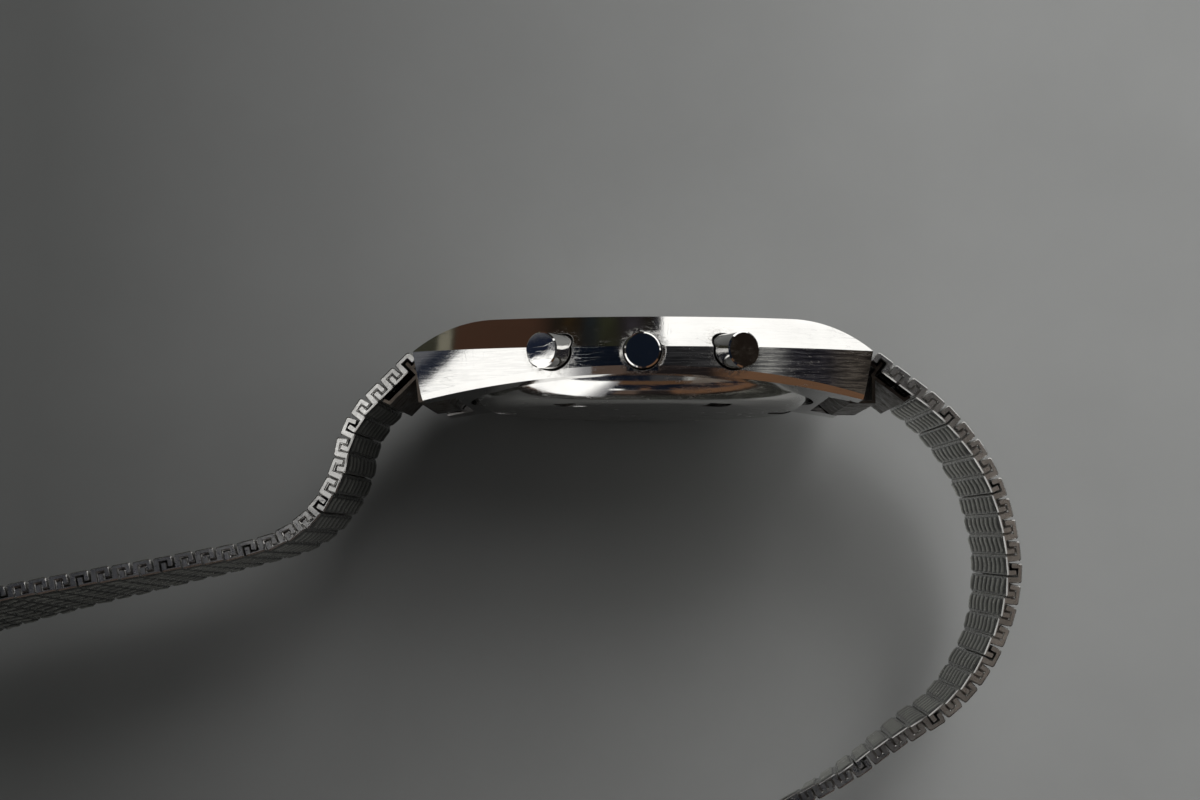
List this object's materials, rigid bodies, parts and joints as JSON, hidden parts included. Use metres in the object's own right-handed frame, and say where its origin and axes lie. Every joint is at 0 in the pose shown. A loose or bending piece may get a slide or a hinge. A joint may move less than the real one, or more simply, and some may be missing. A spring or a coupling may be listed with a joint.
{
  "type": "digital wristwatch",
  "caption": "Steel tonneau-cased digital wristwatch with side pushers, a screwed round back and a two-part bracelet of hooked links with a fold-over clasp.",
  "frame": {"origin": "centre of the case back's flat outer face", "axes": "+X towards 12 o'clock, +Y out through the crystal, +Z towards the pushers at 3 o'clock"},
  "size_m": [0.1133, 0.0594, 0.0374],
  "materials": {
    "steel": "bright rolled stainless links, fine scratches",
    "case_steel": "polished bevels over a finely brushed flank",
    "back_steel": "polished side, circular grain on the flat",
    "polished_steel": "polished, lightly worn",
    "clip_steel": "bright folded sheet",
    "spring_steel": "drawn wire, satin",
    "crystal": "clear mineral glass",
    "display_glass": "thin display glass",
    "rubber": "black moulded rubber",
    "mask": "black printed mask",
    "digits": "dark display segments",
    "reflector": "grey-green satin film",
    "board": "green circuit laminate",
    "black_resin": "black resin cap",
    "can": "nickel-plated can",
    "ceramic": "ceramic trimmer",
    "lamp": "clear bulb",
    "frame": "dark grey moulding",
    "gilt": "gilt contact springs"
  },
  "bodies": {
    "case": {"case_body": "case_steel", "crystal": "crystal", "crystal_gasket": "rubber", "dial_mask": "mask", "lcd_front_glass": "display_glass", "lcd_rear_glass": "display_glass", "lcd_digits": "digits", "lcd_reflector": "reflector", "connector_strip": "rubber", "circuit_board": "board", "driver_chip": "black_resin", "quartz_crystal": "can", "trimmer": "ceramic", "lamp": "lamp", "module_frame": "frame", "battery": "can", "battery_clip": "spring_steel", "module_screws": "spring_steel", "contact_springs": "gilt", "case_back": "back_steel", "back_gasket": "rubber", "pusher_spring_upper": "spring_steel", "pusher_spring_middle": "spring_steel", "pusher_spring_lower": "spring_steel", "spring_bars": "spring_steel"},
    "pusher_upper": {"pusher_upper": "polished_steel", "pusher_clip_upper": "spring_steel", "pusher_seal_upper": "rubber"},
    "pusher_middle": {"pusher_middle": "polished_steel", "pusher_clip_middle": "spring_steel", "pusher_seal_middle": "rubber"},
    "pusher_lower": {"pusher_lower": "polished_steel", "pusher_clip_lower": "spring_steel", "pusher_seal_lower": "rubber"},
    "upper_band_0": {"upper_links_0": "steel", "end_clip_upper": "clip_steel"},
    "upper_band_1": {"upper_links_1": "steel"},
    "upper_band_2": {"upper_links_2": "steel"},
    "upper_band_3": {"upper_links_3": "steel"},
    "upper_band_4": {"upper_links_4": "steel"},
    "upper_band_5": {"upper_links_5": "steel"},
    "upper_band_6": {"upper_links_6": "steel"},
    "upper_band_7": {"upper_links_7": "steel"},
    "upper_band_8": {"upper_links_8": "steel", "upper_end_piece": "steel"},
    "lower_band_0": {"lower_links_0": "steel", "end_clip_lower": "clip_steel"},
    "lower_band_1": {"lower_links_1": "steel"},
    "lower_band_2": {"lower_links_2": "steel"},
    "lower_band_3": {"lower_links_3": "steel"},
    "lower_band_4": {"lower_links_4": "steel"},
    "lower_band_5": {"lower_links_5": "steel"},
    "lower_band_6": {"lower_links_6": "steel"},
    "lower_band_7": {"lower_links_7": "steel"},
    "lower_band_8": {"lower_links_8": "steel", "lower_end_piece": "steel", "tail_bar": "polished_steel"},
    "clasp_cover": {"clasp_cover": "steel", "clasp_pins": "polished_steel"},
    "clasp_blade": {"clasp_blade": "steel"}
  },
  "joints": [
    {"name": "press_upper", "type": "slide", "parent": "case", "child": "pusher_upper", "axis": [-0.5, 0, -0.866], "range_m": [0, 0.0007], "stiffness_N_per_m": 1200, "springref_m": -0.001, "deforming": ["pusher_spring_upper"]},
    {"name": "press_middle", "type": "slide", "parent": "case", "child": "pusher_middle", "axis": [0, 0, -1], "range_m": [0, 0.0007], "stiffness_N_per_m": 1200, "springref_m": -0.001, "deforming": ["pusher_spring_middle"]},
    {"name": "press_lower", "type": "slide", "parent": "case", "child": "pusher_lower", "axis": [0.5, 0, -0.866], "range_m": [0, 0.0007], "stiffness_N_per_m": 1200, "springref_m": -0.001, "deforming": ["pusher_spring_lower"]},
    {"name": "upper_bar_hinge", "type": "hinge", "parent": "case", "child": "upper_band_0", "pos_m": [0.0176, 0.0019, 0], "axis": [0, 0, -1], "range_deg": [-40, 16]},
    {"name": "upper_bend_1", "type": "hinge", "parent": "upper_band_0", "child": "upper_band_1", "pos_m": [0.02612, -0.00067, 0], "axis": [0, 0, 1], "range_deg": [-8.8, 19.2]},
    {"name": "upper_bend_2", "type": "hinge", "parent": "upper_band_1", "child": "upper_band_2", "pos_m": [0.03021, -0.00673, 0], "axis": [0, 0, 1], "range_deg": [-7.8, 20.2]},
    {"name": "upper_bend_3", "type": "hinge", "parent": "upper_band_2", "child": "upper_band_3", "pos_m": [0.03169, -0.01391, 0], "axis": [0, 0, 1], "range_deg": [-6.9, 21.1]},
    {"name": "upper_bend_4", "type": "hinge", "parent": "upper_band_3", "child": "upper_band_4", "pos_m": [0.03005, -0.02102, -0.00001], "axis": [-0.0327, 0.0098, 0.9994], "range_deg": [-8.3, 19.7]},
    {"name": "upper_bend_5", "type": "hinge", "parent": "upper_band_4", "child": "upper_band_5", "pos_m": [0.02552, -0.02674, -0.00011], "axis": [-0.0575, 0.0316, 0.9978], "range_deg": [-6.3, 21.7]},
    {"name": "upper_bend_6", "type": "hinge", "parent": "upper_band_5", "child": "upper_band_6", "pos_m": [0.01955, -0.03102, -0.00032], "axis": [-0.0844, 0.0681, 0.9941], "range_deg": [-11.1, 16.9]},
    {"name": "upper_bend_7", "type": "hinge", "parent": "upper_band_6", "child": "upper_band_7", "pos_m": [0.01331, -0.03489, -0.00058], "axis": [-0.107, 0.1068, 0.9885], "range_deg": [-14, 14]},
    {"name": "upper_bend_8", "type": "hinge", "parent": "upper_band_7", "child": "upper_band_8", "pos_m": [0.00692, -0.03853, -0.00088], "axis": [-0.131, 0.1496, 0.98], "range_deg": [-14, 14]},
    {"name": "lower_bar_hinge", "type": "hinge", "parent": "case", "child": "lower_band_0", "pos_m": [-0.0176, 0.0019, 0], "axis": [0, 0, 1], "range_deg": [-25, 20]},
    {"name": "lower_bend_1", "type": "hinge", "parent": "lower_band_0", "child": "lower_band_1", "pos_m": [-0.02502, -0.00146, 0], "axis": [0, 0, 1], "range_deg": [-25.5, 2.5]},
    {"name": "lower_bend_2", "type": "hinge", "parent": "lower_band_1", "child": "lower_band_2", "pos_m": [-0.02757, -0.00831, -0.00001], "axis": [-0.0128, 0.0048, 0.9999], "range_deg": [-3, 25]},
    {"name": "lower_bend_3", "type": "hinge", "parent": "lower_band_2", "child": "lower_band_3", "pos_m": [-0.03359, -0.01225, -0.00007], "axis": [-0.0186, 0.0158, 0.9997], "range_deg": [-11.7, 16.3]},
    {"name": "lower_bend_4", "type": "hinge", "parent": "lower_band_3", "child": "lower_band_4", "pos_m": [-0.04077, -0.01385, -0.00018], "axis": [-0.0238, 0.0404, 0.9989], "range_deg": [-13.9, 14.1]},
    {"name": "lower_bend_5", "type": "hinge", "parent": "lower_band_4", "child": "lower_band_5", "pos_m": [-0.04798, -0.01534, -0.00029], "axis": [-0.029, 0.0659, 0.9974], "range_deg": [-13.9, 14.1]},
    {"name": "lower_bend_6", "type": "hinge", "parent": "lower_band_5", "child": "lower_band_6", "pos_m": [-0.05517, -0.01689, -0.00039], "axis": [-0.0344, 0.0908, 0.9953], "range_deg": [-14.5, 13.5]},
    {"name": "lower_bend_7", "type": "hinge", "parent": "lower_band_6", "child": "lower_band_7", "pos_m": [-0.06231, -0.01869, -0.00048], "axis": [-0.0407, 0.1154, 0.9925], "range_deg": [-14.5, 13.5]},
    {"name": "lower_bend_8", "type": "hinge", "parent": "lower_band_7", "child": "lower_band_8", "pos_m": [-0.06938, -0.02073, -0.00053], "axis": [-0.0479, 0.1397, 0.989], "range_deg": [-14.5, 13.5]},
    {"name": "cover_swing", "type": "hinge", "parent": "upper_band_8", "child": "clasp_cover", "pos_m": [-0.00139, -0.04336, -0.00125], "axis": [0.1546, -0.192, -0.9691], "range_deg": [-25, 20]},
    {"name": "blade_fold", "type": "hinge", "parent": "clasp_cover", "child": "clasp_blade", "pos_m": [-0.02323, -0.04834, -0.00375], "axis": [-0.1546, 0.192, 0.9691], "range_deg": [-172, 0]}
  ]
}
